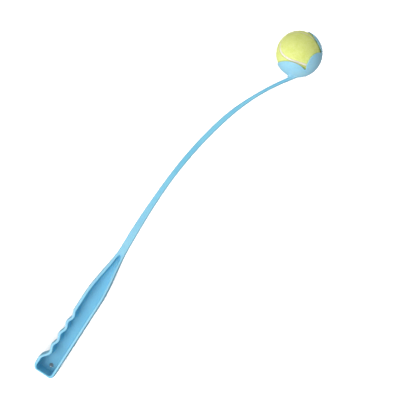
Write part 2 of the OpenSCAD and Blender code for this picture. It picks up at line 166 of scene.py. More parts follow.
def handle_side(line, sign, corner_r, in_u, in_v, u_end, least_r=0.0):
    """One side of the handle, moved in by in_u(u) lengthwise and in_v(u) crosswise: the butt's corner as a
    quarter of an ellipse with the radii r - in_u and r - in_v, then the points (u, line(u)) moved by those
    lengths times the two parts of their normals. sign is 1 on the fingers' side and -1 at the back."""
    d_u, d_v = in_u(0.0), in_v(0.0)
    r_u, r_v = max(corner_r - d_u, least_r), max(corner_r - d_v, least_r)
    rest = CORNER_REST if corner_r < HEEL_R else 0
    turn = np.radians(np.linspace(180, 90, CORNER_POINTS - rest))
    corner = np.stack([
        d_u + r_u + r_u * np.cos(turn),
        line(corner_r) - sign * (d_v + r_v - r_v * np.sin(turn)),
    ], axis=1)
    u = np.concatenate([np.linspace(d_u + r_u, HEEL_R, rest + 1)[1:], stations(u_end)])
    step = 0.01
    slope = (line(u + step) - line(u - step)) / (2 * step)
    lean_in = slope * (1 - ease(u, u_end - TRAY_CLOSE, u_end))
    straight = np.stack([
        u + sign * in_u(u) * lean_in / np.hypot(1, slope),
        line(u) - sign * in_v(u) / np.hypot(1, slope),
    ], axis=1)
    return np.concatenate([corner, straight])


def handle_ring(fingers, back):
    """A closed ring of two sides: in along the fingers, across the butt, out along the back and across the
    end, with as many cells in each crossing as the floor has across it."""
    share = np.linspace(0, 1, ACROSS + 1)[1:-1, None]
    return np.concatenate([
        fingers[::-1],
        mix(fingers[0], back[0], share),
        back,
        mix(back[-1], fingers[-1], share),
    ])


def edge_r(r, u):
    """Radius of an edge, which turns into the shaft's at the handle's end."""
    return mix(r, SHAFT_EDGE_R, narrowing(u))


# Each side's line, its sign and the radius of its corner at the butt
HANDLE_SIDES = ((finger_v, 1, HEEL_R), (back_v, -1, BUTT_R))


def outer_row(r_u, r_v, r_w, side, angle):
    """A row of the outside whose rounded edge has turned by angle: in by r_u(1 - sin) lengthwise,
    r_v(1 - sin) crosswise and r_w(1 - cos) in height. side is 1 at the rim and -1 at the back."""
    in_u = lambda u: edge_r(r_u, u) * (1 - np.sin(angle))
    in_v = lambda u: edge_r(r_v, u) * (1 - np.sin(angle))
    ring = handle_ring(*(handle_side(*line, in_u, in_v, HANDLE_LEN) for line in HANDLE_SIDES))
    w = side * (half_h(ring[:, 0]) - edge_r(r_w, ring[:, 0]) * (1 - np.cos(angle)))
    return np.column_stack([ring, w])


def wall_within(wall, share, u):
    """A wall's thickness at u: as given, or a share of the handle's half width where that is less."""
    return np.minimum(wall, share * (finger_v(u) - back_v(u)) / 2)


def tray_sides():
    """The tray's two walls at the rim: the handle's sides, a wall's thickness in, drawn together to a blunt
    point along the ellipse sqrt(1 - x^2)."""
    sides = []
    walls = ((FINGER_WALL, FINGER_SHARE), (BACK_WALL, BACK_SHARE))
    for line, (wall, share) in zip(HANDLE_SIDES, walls):
        in_u = lambda u: wall_within(BUTT_WALL, share, u)
        in_v = lambda u: wall_within(wall, share, u)
        side = handle_side(*line, in_u, in_v, TRAY_END, TRAY_CORNER_R)
        u = side[:, 0]
        shut = POINT_CUT * np.clip((u - TRAY_END + TRAY_CLOSE) / TRAY_CLOSE, 0, 1)
        side[:, 1] = mix(middle_v(u), side[:, 1], np.sqrt(1 - shut ** 2))
        sides.append(side)
    return sides


tray_fingers, tray_back = tray_sides()
tray_half_gap = np.linalg.norm(tray_fingers - tray_back, axis=1) / 2


def unit(vectors):
    """Vectors of the same directions and of length 1."""
    return vectors / np.linalg.norm(vectors, axis=-1, keepdims=True)


def tray_row(inset, height_of):
    """A row inside the tray: its walls moved in by inset along their normals, or by less where the tray is
    narrow, at the height that height_of gives for u."""
    rows = []
    for side, sign in ((tray_fingers, 1), (tray_back, -1)):
        along = np.gradient(side, axis=0)
        normal = unit(np.stack([along[:, 1], -along[:, 0]], axis=1))
        d = np.minimum(inset, NARROW_SHARE * tray_half_gap)
        rows.append(side + sign * d[:, None] * normal)
    ring = handle_ring(*rows)
    return np.column_stack([ring, height_of(ring[:, 0])])


def floor_w(u):
    """Height of the tray's floor."""
    return FLOOR_T - half_h(u)


# Points of a rounded edge and of the leaning outside, and where the rows between the edges lie
EDGE_POINTS, LEAN_POINTS = 9, 15
TRAY_WALL_AT, OUTER_WALL_AT = (0.03, 0.15, 0.4, 0.65, 0.88, 0.97), (0.03, 0.2, 0.4, 0.6, 0.8, 0.97)
RIM_TOP_AT = (0.12, 0.5, 0.88)

quarter = np.radians(np.linspace(0, 90, EDGE_POINTS))
rim_inner = [
    tray_row(LIP_R * (np.sin(a) - 1), lambda u: half_h(u) - LIP_R * (1 - np.cos(a)))
    for a in quarter
]
tray_wall = [
    tray_row(TRAY_DRAFT * f, lambda u: mix(half_h(u) - LIP_R, floor_w(u) + TRAY_FILLET, f))
    for f in TRAY_WALL_AT
]
fillet = [
    tray_row(TRAY_DRAFT + TRAY_FILLET * (1 - np.cos(a)), lambda u: floor_w(u) + TRAY_FILLET * (1 - np.sin(a)))
    for a in quarter
]
back_edge = [outer_row(BACK_EDGE_R, BACK_EDGE_R, BACK_EDGE_R, -1, a) for a in quarter]
lean_turn = np.radians(np.linspace(90, 0, LEAN_POINTS))
rim_edge = [outer_row(BUTT_LEAN, SIDE_LEAN, LEAN_H, 1, a) for a in lean_turn]
outer_wall = [mix(back_edge[-1], rim_edge[0], f) for f in OUTER_WALL_AT]
rim_top = [mix(rim_edge[-1], rim_inner[0], f) for f in RIM_TOP_AT]
outer_rows = back_edge + outer_wall + rim_edge + rim_top
handle_rows = np.array(outer_rows + rim_inner + tray_wall + fillet)
# The wear of the back's edge, the painted highlight that pales the rim's flat top, the wear of its inner edge
# and of the shaft's start, from 0 to 1, and how fast the wear of the rim's outer edge fades down the side
BACK_WEAR, RIM_PAINTED_HIGHLIGHT, LIP_WEAR, EVEN_WEAR = 0.5, 0.5, 0.8, 0.5
WEAR_FADE = 8
# Each row's wear, but on the rim's flat top a painted highlight that pales it where the light falls on it
row_wear_and_highlight = np.concatenate([
    BACK_WEAR * np.sin(2 * quarter),
    np.zeros(len(outer_wall)),
    np.cos(lean_turn) ** WEAR_FADE,
    np.full(len(rim_top), RIM_PAINTED_HIGHLIGHT),
    LIP_WEAR * np.sin(2 * quarter),
    np.zeros(len(tray_wall) + len(fillet)),
])


def grid_quads(index):
    """Quads of a grid of point numbers, or of a stack of grids: each cell's four corners, round the cell."""
    corners = [index[..., :-1, :-1], index[..., :-1, 1:], index[..., 1:, 1:], index[..., 1:, :-1]]
    return np.stack(corners, axis=-1).reshape(-1, 4)


def tube_quads(index):
    """Quads of grids whose first column comes again at the end, so that the last cells close the ring."""
    return grid_quads(np.concatenate([index, index[..., :1]], axis=-1))


# Points closer than this are one point, and faces that meet at more than this angle keep a sharp edge
MERGE = 0.0002
SHARP = np.radians(50)


class Skin:
    """Points, faces and wear of a piece while it is put together. On the plastic the wear is partly
    painted highlight and sheen.
    """

    def __init__(self):
        self.points, self.wear, self.faces, self.count = [], [], [], 0

    def add(self, points, wear=0.0):
        """Adds an array of points (..., 3) and returns their numbers in the same layout."""
        shape = points.shape[:-1]
        numbers = np.arange(self.count, self.count + int(np.prod(shape))).reshape(shape)
        self.points.append(points.reshape(-1, 3))
        self.wear.append(np.broadcast_to(wear, shape).reshape(-1))
        self.count += numbers.size
        return numbers

    def cover(self, quads):
        """Adds faces, as rows of point numbers."""
        self.faces.append(quads)

    def piece(self, name, finish, body, slot, *nodes):
        """Makes the object: equal points merged, shaded smooth but for sharp edges, riding and replacing."""
        mesh = bpy.data.meshes.new(name)
        points = laid(np.concatenate(self.points))
        faces = np.concatenate(self.faces)
        keys = np.round(points / (MM * MERGE)).astype(np.int64)
        _, first, merged = np.unique(keys, axis=0, return_index=True, return_inverse=True)
        used, faces = np.unique(merged.reshape(-1)[faces], return_inverse=True)
        corners = [tuple(dict.fromkeys(face)) for face in faces.reshape(-1, 4).tolist()]
        mesh.from_pydata(points[first][used].tolist(), [], [c for c in corners if len(c) > 2])
        wear = mesh.attributes.new("wear", "FLOAT", "POINT")
        wear.data.foreach_set("value", np.concatenate(self.wear)[first][used].astype(np.float32))
        mesh.shade_smooth()
        mesh.set_sharp_from_angle(angle=SHARP)
        mesh.materials.append(finish)
        made = bpy.data.objects.new(name, mesh)
        scene.collection.objects.link(made)
        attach(made, body)
        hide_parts(*nodes)


def strip_grid(skin, ring, ring_numbers, height_of):
    """The flat that closes a ring: straight rows from the fingers' side to the back, which share their ends
    with the ring. Returns the grid of point numbers and the points, butt first."""
    side = (len(ring) - 2 * (ACROSS - 1)) // 2
    fingers = np.arange(side)[::-1]
    back = np.arange(side) + side + ACROSS - 1
    share = np.linspace(0, 1, ACROSS + 1)
    flat = mix(ring[fingers][:, None, :2], ring[back][:, None, :2], share[None, :, None])
    points = np.concatenate([flat, height_of(flat[..., :1])], axis=-1)
    numbers = np.empty(points.shape[:2], int)
    numbers[1:-1, 1:-1] = skin.add(points[1:-1, 1:-1])
    numbers[:, 0] = ring_numbers[fingers]
    numbers[:, -1] = ring_numbers[back]
    numbers[0, 1:-1] = ring_numbers[side:side + ACROSS - 1]
    numbers[-1, 1:-1] = ring_numbers[2 * side + ACROSS - 1:][::-1]
    return numbers, points


def block_edge(grid, rows, columns):
    """The edge of a block of a grid's cells, once round: out along its first column, back along its last."""
    (a, b), (c, d) = rows, columns
    return np.concatenate([grid[a:b, c], grid[b, c:d], grid[b:a:-1, d], grid[a, d:c:-1]])


def without_block(index, rows, columns):
    """A grid's quads but for those of a block."""
    keep = np.ones((index.shape[0] - 1, index.shape[1] - 1), bool)
    keep[rows[0]:rows[1], columns[0]:columns[1]] = False
    return grid_quads(index)[keep.reshape(-1)]


# Where the flat rows round the hang hole and the rows of its bore lie, and the points of its lips
HOLE_AT, BORE_AT, HOLE_LIP_POINTS = (0.3, 0.6, 0.85), (0.05, 0.5, 0.95), 6


def hole_rows(back_rim, floor_rim):
    """Rings of the hang hole, from a block's edge on the back to the one on the floor: flat rows that turn
    into a circle, a rounded lip, the bore, a second lip and flat rows again."""
    middle = np.array([HANG_U, HANG_V])
    angles = [np.unwrap(np.arctan2(*(rim[:, :2] - middle).T[::-1])) for rim in (back_rim, floor_rim)]
    low, high = -HANDLE_H / 2, FLOOR_T - HANDLE_H / 2
    lip = np.radians(np.linspace(0, 90, HOLE_LIP_POINTS))

    def ring(share, r, w):
        """A circle at height w, its points turned by a share of the way from the back's to the floor's."""
        a = mix(angles[0], angles[1], share)
        return np.column_stack([middle[0] + r * np.cos(a), middle[1] + r * np.sin(a), np.full_like(a, w)])

    def lip_ring(share, w, side, a):
        """A row of a lip whose quarter circle has turned by a, from the flat at height w."""
        return ring(share, HANG_R + HANG_LIP * (1 - np.sin(a)), w + side * HANG_LIP * (1 - np.cos(a)))

    rows = [mix(back_rim, ring(0, HANG_R + HANG_LIP, low), f) for f in HOLE_AT]
    rows += [lip_ring(0, low, 1, a) for a in lip]
    rows += [ring(f, HANG_R, mix(low + HANG_LIP, high - HANG_LIP, f)) for f in BORE_AT]
    rows += [lip_ring(1, high, -1, a) for a in lip[::-1]]
    rows += [mix(floor_rim, ring(1, HANG_R + HANG_LIP, high), f) for f in HOLE_AT[::-1]]
    return np.array(rows)


class Value:
    """A shader socket that Python's operators work on: each operation adds one Math node."""

    def __init__(self, finish, socket):
        self.finish, self.socket = finish, socket

    def _math(self, operation, *values):
        return self.finish.node("ShaderNodeMath", {"operation": operation}, dict(enumerate(values)))

    def __add__(self, other):
        return self._math("ADD", self, other)

    def __sub__(self, other):
        return self._math("SUBTRACT", self, other)

    def __rsub__(self, other):
        return self._math("SUBTRACT", other, self)

    def __mul__(self, other):
        return self._math("MULTIPLY", self, other)

    def clipped(self, low, high):
        """0 below low, 1 above high, smooth between."""
        sockets = {"Value": self, "From Min": low, "From Max": high}
        return self.finish.node("ShaderNodeMapRange", {"interpolation_type": "SMOOTHSTEP"}, sockets)

    __radd__, __rmul__ = __add__, __mul__


class Finish:
    """A material, or the world's light: its shader's constant sockets, and the nodes that vary the others."""

    def __init__(self, block, shader="Principled BSDF", where="Object", **constants):
        block.use_nodes = True
        self.block, self.tree = block, block.node_tree
        self.shader = self.tree.nodes[shader]
        for socket, value in constants.items():
            self.shader.inputs[socket.replace("_", " ")].default_value = value
        self.where = self.node("ShaderNodeTexCoord", out=where)

    def node(self, kind, settings=None, sockets=None, out=0):
        """Adds a node by its type, its settings and its sockets' values or links, and returns an output."""
        made = self.tree.nodes.new(kind)
        for name, value in (settings or {}).items():
            setattr(made, name, value)
        for name, value in (sockets or {}).items():
            if isinstance(value, Value):
                self.tree.links.new(value.socket, made.inputs[name])
            else:
                made.inputs[name].default_value = value
        return Value(self, made.outputs[out])

    def noise(self, size, detail=2.0, roughness=0.5, distortion=0.0, where=None):
        """Noise whose lumps are about size millimetres across, from 0 to 1."""
        return self.node(
            "ShaderNodeTexNoise", {},
            {"Vector": where or self.where, "Scale": 1 / (size * MM), "Detail": detail,
             "Roughness": roughness, "Distortion": distortion},
        )

    def wear(self):
        """The wear that the piece's own points carry, which on the plastic's rim top and cup is partly
        painted highlight and sheen.
        """
        return self.node("ShaderNodeAttribute", {"attribute_name": "wear"}, out="Fac")

    def blend(self, factor, first, second):
        """A colour from first at 0 to second at 1."""
        sockets = {"Factor": factor, 6: first, 7: second}
        return self.node("ShaderNodeMix", {"data_type": "RGBA"}, sockets, out=2)

    def bump(self, height, distance, strength, normal=None):
        """A bump of height from 0 to 1 over distance millimetres, on top of another where one is given."""
        sockets = {"Height": height, "Distance": distance * MM, "Strength": strength}
        if normal:
            sockets["Normal"] = normal
        return self.node("ShaderNodeBump", {}, sockets)

    def feed(self, **inputs):
        """Links values to the shader's own sockets and returns the material or world."""
        for socket, value in inputs.items():
            self.tree.links.new(value.socket, self.shader.inputs[socket.replace("_", " ")])
        return self.block


def linear(code):
    """A colour written as six hexadecimal digits, as linear light."""
    part = np.array([int(code[i:i + 2], 16) for i in (0, 2, 4)]) / 255
    light = np.where(part < 0.04045, part / 12.92, ((part + 0.055) / 1.055) ** 2.4)
    return (*light.tolist(), 1.0)


def moulded_plastic():
    """Satin polypropylene: an even light blue that clouds a little where the melt flowed, a fine spark-eroded
    grain, paler abraded edges and thin scuffs. The same pale colour is painted as a highlight on the rim's
    flat top and as a sheen, mixed with wear, over the cup."""
    finish = Finish(
        bpy.data.materials.new("light_blue_plastic"),
        IOR=1.49, Specular_IOR_Level=0.4, Subsurface_Weight=0.25, Subsurface_Scale=0.002,
        Subsurface_Radius=(0.25, 0.6, 1.0),
    )
    cloud = finish.noise(55, detail=3)
    fleck = finish.noise(2.2, detail=4, roughness=0.65)
    grain = finish.noise(0.28)
    streaks = {"Vector": finish.where, "Rotation": (0.0, 0.0, 0.35), "Scale": (0.12, 1.0, 1.0)}
    stretched = finish.node("ShaderNodeMapping", {}, streaks)
    scratch = finish.noise(0.9, detail=5, roughness=0.7, where=stretched).clipped(0.62, 0.72)
    patches = finish.noise(14).clipped(0.48, 0.62)
    scuff = scratch * patches
    # The points' wear, which on the rim's flat top is a painted highlight and on the cup partly a painted
    # sheen
    rubbed_and_highlit = finish.wear() * (0.35 + 0.9 * fleck)
    body = finish.blend(cloud.clipped(0.3, 0.7), linear("72c0dd"), linear("7ec8e3"))
    flecked = finish.blend(fleck.clipped(0.55, 0.8) * 0.25, body, linear("62b3d8"))
    # Paled where abraded and scuffed, and where the rim's top and the cup carry their painted highlight and
    # sheen
    worn_and_highlit = finish.blend(rubbed_and_highlit * 0.45 + scuff * 0.35, flecked, linear("cfe9f6"))
    low = finish.bump(fleck, 0.05, 0.5)
    return finish.feed(
        Base_Color=worn_and_highlit,
        Roughness=0.4 + 0.1 * cloud + 0.12 * scuff + 0.08 * rubbed_and_highlit,
        Normal=finish.bump(grain - 0.5 * scuff, 0.03, 0.6, low),
    )


plastic = moulded_plastic()
skin = Skin()
outside = (np.arange(len(handle_rows)) < len(outer_rows))[:, None]
handle_u = handle_rows[..., 0]
# Wear and the rim's painted highlight fade out over the heel towards the butt, which paints the butt's rim
# darker as shade, and turn even on the taper's outside
handle_wear_and_highlight = mix(row_wear_and_highlight[:, None] * ease(handle_u, 0, HEEL_LEN), EVEN_WEAR, outside * narrowing(handle_u))
ring_numbers = skin.add(handle_rows, handle_wear_and_highlight)
skin.cover(tube_quads(ring_numbers))
back_grid, back_points = strip_grid(skin, handle_rows[0], ring_numbers[0], lambda u: -half_h(u))
floor_grid, floor_points = strip_grid(skin, handle_rows[-1], ring_numbers[-1], floor_w)
# The cells that the hang hole takes out of the back and out of the floor
BACK_BLOCK, FLOOR_BLOCK = ((9, 21), (12, 22)), ((9, 19), (12, 24))
skin.cover(without_block(back_grid, *BACK_BLOCK)[:, ::-1])
skin.cover(without_block(floor_grid, *FLOOR_BLOCK))
bore = hole_rows(block_edge(back_points, *BACK_BLOCK), block_edge(floor_points, *FLOOR_BLOCK))
skin.cover(tube_quads(np.vstack([
    block_edge(back_grid, *BACK_BLOCK), skin.add(bore), block_edge(floor_grid, *FLOOR_BLOCK),
])))
skin.piece("handle_skin", plastic, "stick", "moulding", "handle")

# Shaft. The middle of the moulding: a flat-sided blade that whips in a throw, bowed away from the fingers in
# three arcs and thinned towards the cup. A fairing below and a web above spread its end over the cup.
BOWS = ((107.0, 1080.0), (116.0, 600.0), (116.0, 326.0))
BOW_LEN = sum(length for length, r in BOWS)
MID_W, NECK_W, NECK_H = 7.8, 4.6, 12.0
ROOT_THIN, NECK_THIN, NECK_LEN = 115.0, 90.0, 30.0
FAIRING_R, FAIRING_BITE = 50.0, 0.8
CUP_RUN, CUP_RISE = 31.9, 29.2
CUP_DIR = np.radians(78)
BALL_R, BALL_GAP = 32.0, 0.4
CUP_WALL, TIP_WALL, TIP_AT = 2.6, 1.4, np.radians(70)
CUP_IN_R = BALL_R + BALL_GAP
# The cup's outer sphere is set back from its inner one, so that the wall thins towards the tips
CUP_BACK = (CUP_WALL - TIP_WALL) / (1 + np.cos(TIP_AT))
CUP_OUT_R = CUP_IN_R + CUP_WALL - CUP_BACK
# Length of the web above the shaft's end, of the fillets at its flanks and of the one under the fairing
WEB_LEN, FLANK_FILLET, UNDER_FILLET = 11.0, 2.6, 0.5
# How far down a line faces, as a cosine, from where on it has the lower fillet, how far back a fillet's
# tangents may meet, as a share of its length, and how deep the shaft's end goes into the cup's wall
UNDER_TURN, FILLET_BACK, SHAFT_SINK = 0.6, 0.9, 0.6
# Length over which the section turns from the handle's end face into the shaft's line
SETTLE_LEN = 12.0
# The wear of its corners, the cup's paleness from wear and painted sheen, and the length along which the hand
# rubs it
CORNER_WEAR, CUP_WEAR_AND_SHEEN, RUBBED_LEN = 0.35, 0.8, 130.0
# Where the evenly spaced rows end, and the rows up to there, from there to the fillets and of the fillets
EVEN_END = 334.0
EVEN_ROWS, CLOSING_ROWS, WEB_ROWS = 150, 14, 15
# Times that an interval is halved to find a crossing in it
HALVINGS = 40


def way(angle):
    """Unit vectors (u, v) at angles from the handle's line."""
    return np.stack([np.cos(angle), np.sin(angle)], axis=-1)


def shaft_line(s):
    """The middle line at length s: arcs that each turn by length / radius, then a straight run. Returns the
    points (u, v) and the angles."""
    angle = np.arctan(LEAN)
    point = np.stack([HANDLE_LEN + 0 * s, middle_v(HANDLE_LEN) + 0 * s], axis=-1)
    heading = angle + 0 * s
    start = 0.0
    for length, r in BOWS:
        turned = np.clip(s - start, 0, length) / r
        point = point + r * np.stack([
            np.sin(angle) - np.sin(angle - turned),
            np.cos(angle - turned) - np.cos(angle),
        ], axis=-1)
        heading = heading - turned
        angle -= length / r
        start += length
    beyond = np.maximum(s - BOW_LEN, 0)[..., None]
    return point + beyond * way(angle), heading


bow_end, end_angle = shaft_line(np.array(BOW_LEN))
end_along = way(end_angle)
end_across = np.array([-np.sin(end_angle), np.cos(end_angle)])
cup_middle = bow_end + CUP_RUN * end_along + CUP_RISE * end_across
outer_middle = cup_middle - CUP_BACK * way(CUP_DIR)
ball_centre, outer_centre = np.append(cup_middle, 0.0), np.append(outer_middle, 0.0)
to_cup = outer_middle - bow_end
fairing_reach = CUP_OUT_R - FAIRING_BITE + FAIRING_R
fairing_turn = np.arccos((to_cup @ end_across + NECK_W / 2 + FAIRING_R) / fairing_reach)
fairing_start = BOW_LEN + to_cup @ end_along - fairing_reach * np.sin(fairing_turn)
fairing_end = fairing_start + FAIRING_R * np.sin(fairing_turn)

# The section's points: where the centre of each corner lies, from 0 to 1 both ways, and the angle round it
corner_turn = np.linspace(0, 90, EDGE_POINTS)
one, nil = np.ones(EDGE_POINTS), np.zeros(EDGE_POINTS)
flat_share = np.array([0.06, 0.35, 0.65, 0.94])
flat_one, flat_nil = np.ones(len(flat_share)), np.zeros(len(flat_share))
section_x = np.concatenate([one, 1 - flat_share, nil, flat_nil, nil, flat_share, one, flat_one])
section_y = np.concatenate([one, flat_one, one, 1 - flat_share, nil, flat_nil, nil, flat_share])
section_turn = np.radians(np.concatenate([
    part for k in range(4) for part in (corner_turn + 90 * k, flat_nil + 90 * (k + 1))
]))


def shaft_points(s):
    """Points of the shaft at lengths s, whose last axis is the section's points or 1: a rounded rectangle,
    centred on the middle line, but lower below it by the fairing's arc r - sqrt(r^2 - x^2)."""
    point, heading = shaft_line(s)
    heading = heading * ease(s, 0, SETTLE_LEN)
    half = mix(ROOT_W, MID_W, ease(s, 0, ROOT_THIN)) / 2
    half = half + (NECK_W - MID_W) / 2 * ease(s, BOW_LEN - NECK_LEN - NECK_THIN, BOW_LEN - NECK_LEN)
    drop = FAIRING_R - np.sqrt(FAIRING_R ** 2 - np.maximum(0, s - fairing_start) ** 2)
    high = mix(ROOT_H, NECK_H, ease(s, 0, BOW_LEN)) / 2 - SHAFT_EDGE_R
    across = mix(SHAFT_EDGE_R - half - drop, half - SHAFT_EDGE_R, section_x)
    across = across + SHAFT_EDGE_R * np.cos(section_turn)
    w = mix(-high, high, section_y) + SHAFT_EDGE_R * np.sin(section_turn)
    return np.stack([
        point[..., 0] - across * np.sin(heading),
        point[..., 1] + across * np.cos(heading),
        w,
    ], axis=-1)


def crossing(before, after, is_past):
    """The values just before and after the one that is_past turns true at, by halving the interval."""
    for _ in range(HALVINGS):
        half_way = (before + after) / 2
        past = is_past(half_way)
        before, after = np.where(past, before, half_way), np.where(past, half_way, after)
    return before, after


def cup_fillet(rows):
    """Rows that carry the shaft on to the cup: each line leaves the shaft a fillet's length before the cup,
    along a parabola whose two tangents are that line and the cup's own surface."""
    in_cup = lambda s: np.linalg.norm(shaft_points(s) - outer_centre, axis=-1) < CUP_OUT_R
    entry = crossing(EVEN_END, fairing_end, in_cup)[1]
    facing = np.cos(section_turn)
    length = np.where(
        facing > 0,
        mix(FLANK_FILLET, WEB_LEN, ease(facing, 0, 1)),
        mix(FLANK_FILLET, UNDER_FILLET, ease(-facing, 0, UNDER_TURN)),
    )
    met = shaft_points(entry)
    out = (met - outer_centre) / CUP_OUT_R
    side = np.stack([facing * end_across[0], facing * end_across[1], np.sin(section_turn)], axis=-1)
    climb = unit(side - (side * out).sum(-1, keepdims=True) * out)
    swing = (length / CUP_OUT_R)[:, None]
    landing = out * np.cos(swing) + climb * np.sin(swing)
    landed = outer_centre + CUP_OUT_R * landing
    step = 0.01
    ahead = (met - shaft_points(entry - step)) / step
    reach = ((landed - met) * landing).sum(-1) / (ahead * landing).sum(-1)
    corner = met + np.maximum(reach, -FILLET_BACK * length)[:, None] * ahead
    leave = entry - length
    f = np.sin(np.linspace(0, np.pi / 2, rows))[1:, None, None]
    curve = (1 - f) ** 2 * shaft_points(leave) + 2 * f * (1 - f) * corner + f ** 2 * landed
    sunk = outer_centre + (CUP_OUT_R - SHAFT_SINK) * landing
    return leave, np.concatenate([curve, sunk[None]])


leave, web_rows = cup_fillet(WEB_ROWS)
even_rows = shaft_points(np.linspace(0, EVEN_END, EVEN_ROWS)[:, None])
closing_rows = shaft_points(mix(EVEN_END, leave, np.linspace(0, 1, CLOSING_ROWS)[1:, None]))
shaft_rows = np.concatenate([
    np.broadcast_to(even_rows[0].mean(0), even_rows[:1].shape),
    even_rows, closing_rows, web_rows,
    np.broadcast_to(web_rows[-1].mean(0), even_rows[:1].shape),
])
from_handle = np.linalg.norm(shaft_rows - shaft_rows[0], axis=-1)
from_cup = np.linalg.norm(shaft_rows - outer_centre, axis=-1) - CUP_OUT_R
shaft_wear_and_sheen = EVEN_WEAR * (1 - ease(from_handle, ROOT_H, RUBBED_LEN))
shaft_wear_and_sheen += CORNER_WEAR * ease(from_handle, ROOT_H, RUBBED_LEN / 2) * np.abs(np.sin(2 * section_turn))
# Near the cup the shaft takes on the cup's wear and painted sheen
shaft_wear_and_sheen = mix(CUP_WEAR_AND_SHEEN, shaft_wear_and_sheen, ease(from_cup, 0, WEB_LEN))
skin = Skin()
skin.cover(tube_quads(skin.add(shaft_rows, shaft_wear_and_sheen)))
skin.piece("shaft_skin", plastic, "stick", "moulding", "shaft")

# Cup. The far end of the moulding: a shell of a ball's size that is cut open into a claw, with a jaw on the
# shaft's side, a jaw in front and a lobe on each side between two notches. It springs open round the ball.
REAR_LEAN, FRONT_LEAN = np.radians(8), np.radians(16)
REAR_NOTCH, FRONT_NOTCH = (14.5, 22.8), (21.6, 21.8)
NOTCH_R, NOTCH_LIFT = 1.4, 0.3
LOBE_RISE = 5.9
JAW_R = CUP_IN_R + TIP_WALL / 2
# How far in from the claw's edge its rounding starts, and how far the rounding stays short of a sharp edge
RIM_ROUND, RIM_SHORT = 1.0, 0.2
# Points of the lobe's arc, of the turn round its corner, of the notch and of the jaw, rows of the two shells
# and of the rounding, and how worn the rounding is
LOBE_POINTS, TURN_POINTS, NOTCH_POINTS, JAW_POINTS = 19, 7, 8, 46
SHELL_ROWS, RIM_ROWS = 81, 15
EDGE_WEAR = 0.6
# The shares of a jaw's length between which it passes the end of the sphere
JAW_NEAR, JAW_FAR = 0.5, 1.3

lobe_from = np.array([NOTCH_R - REAR_NOTCH[0], NOTCH_LIFT - REAR_NOTCH[1] - NOTCH_R])
lobe_to = np.array([FRONT_NOTCH[0] - NOTCH_R, NOTCH_LIFT - FRONT_NOTCH[1] - NOTCH_R])
lobe_half = np.linalg.norm(lobe_to - lobe_from) / 2
LOBE_R = (lobe_half ** 2 + LOBE_RISE ** 2) / (2 * LOBE_RISE)
lobe_along = (lobe_to - lobe_from) / (2 * lobe_half)
lobe_middle = (lobe_from + lobe_to) / 2 + (LOBE_RISE - LOBE_R) * np.array([-lobe_along[1], lobe_along[0]])


def angle_of(vector):
    """A plane vector's angle."""
    return np.arctan2(vector[1], vector[0])


def wall_centre(share):
    """Centre, from the cup's own, of the sphere at a share of the wall's thickness: 0 inside, 1 outside."""
    return np.array([0.0, -share * CUP_BACK])


def wall_r(share):
    """Radius of that sphere: the spheres between the inner and the outer one blend their equations."""
    return np.sqrt(mix(CUP_IN_R ** 2, CUP_OUT_R ** 2, share) - share * (1 - share) * CUP_BACK ** 2)


def claw_half(notch, lean, lobe_centre, depth, share):
    """Half of the claw's edge, in the plane of the claw with the jaw towards +x, moved into the wall by
    depth: the lobe's arc, a turn round its corner with the notch, the notch's arc, and the jaw's arc, which
    leaves at the lean and passes the tip, up to where the sphere at that share of the wall ends."""
    centre = np.array([notch[0] - NOTCH_R, -notch[1]])
    apart = lobe_centre - centre
    far = np.linalg.norm(apart)
    opening = np.arccos((far ** 2 + NOTCH_R ** 2 - LOBE_R ** 2) / (2 * far * NOTCH_R))
    notch_from = angle_of(apart) + opening
    corner = centre + NOTCH_R * way(notch_from)
    lobe_end = angle_of(corner - lobe_centre)
    foot = centre + NOTCH_R * way(-lean)
    chord = JAW_R * np.array([np.sin(TIP_AT), np.cos(TIP_AT)]) - foot
    bend = angle_of(chord) - (np.pi / 2 - lean)

    def jaw(f):
        """The jaw's edge at a share f of its length."""
        heading = np.pi / 2 - lean + f * bend
        reach = np.linalg.norm(chord) * np.sin(f * bend) / np.sin(bend)
        inward = np.stack([np.sin(heading + f * bend), -np.cos(heading + f * bend)], axis=-1)
        return foot + reach[..., None] * way(heading) + depth * inward

    out_of_wall = lambda f: np.linalg.norm(jaw(f) - wall_centre(share)) >= wall_r(share)
    jaw_end = crossing(JAW_NEAR, JAW_FAR, out_of_wall)[0]
    return np.concatenate([
        lobe_centre + (LOBE_R - depth) * way(np.linspace(np.pi / 2, lobe_end, LOBE_POINTS)),
        corner + depth * way(np.linspace(lobe_end - np.pi, notch_from, TURN_POINTS)[1:]),
        centre + (NOTCH_R + depth) * way(np.linspace(notch_from, -lean, NOTCH_POINTS)[1:]),
        jaw(jaw_end * (1 - np.linspace(1, 0, JAW_POINTS)[1:] ** 2)),
    ])


def claw_edge(depth, share):
    """The whole edge at a depth from the claw's opening and a share of the wall, from the rear tip to the
    front one: points (x, y, z), where z is the height of that share's sphere over (x, y)."""
    flip = np.array([-1.0, 1.0])
    front = claw_half(FRONT_NOTCH, FRONT_LEAN, lobe_middle, depth, share)
    rear = flip * claw_half(REAR_NOTCH, REAR_LEAN, flip * lobe_middle, depth, share)
    flat = np.concatenate([rear[:0:-1], front])
    rise = wall_r(share) ** 2 - ((flat - wall_centre(share)) ** 2).sum(1)
    rise[[0, -1]] = 0
    return np.column_stack([flat, np.sqrt(np.maximum(rise, 0))])


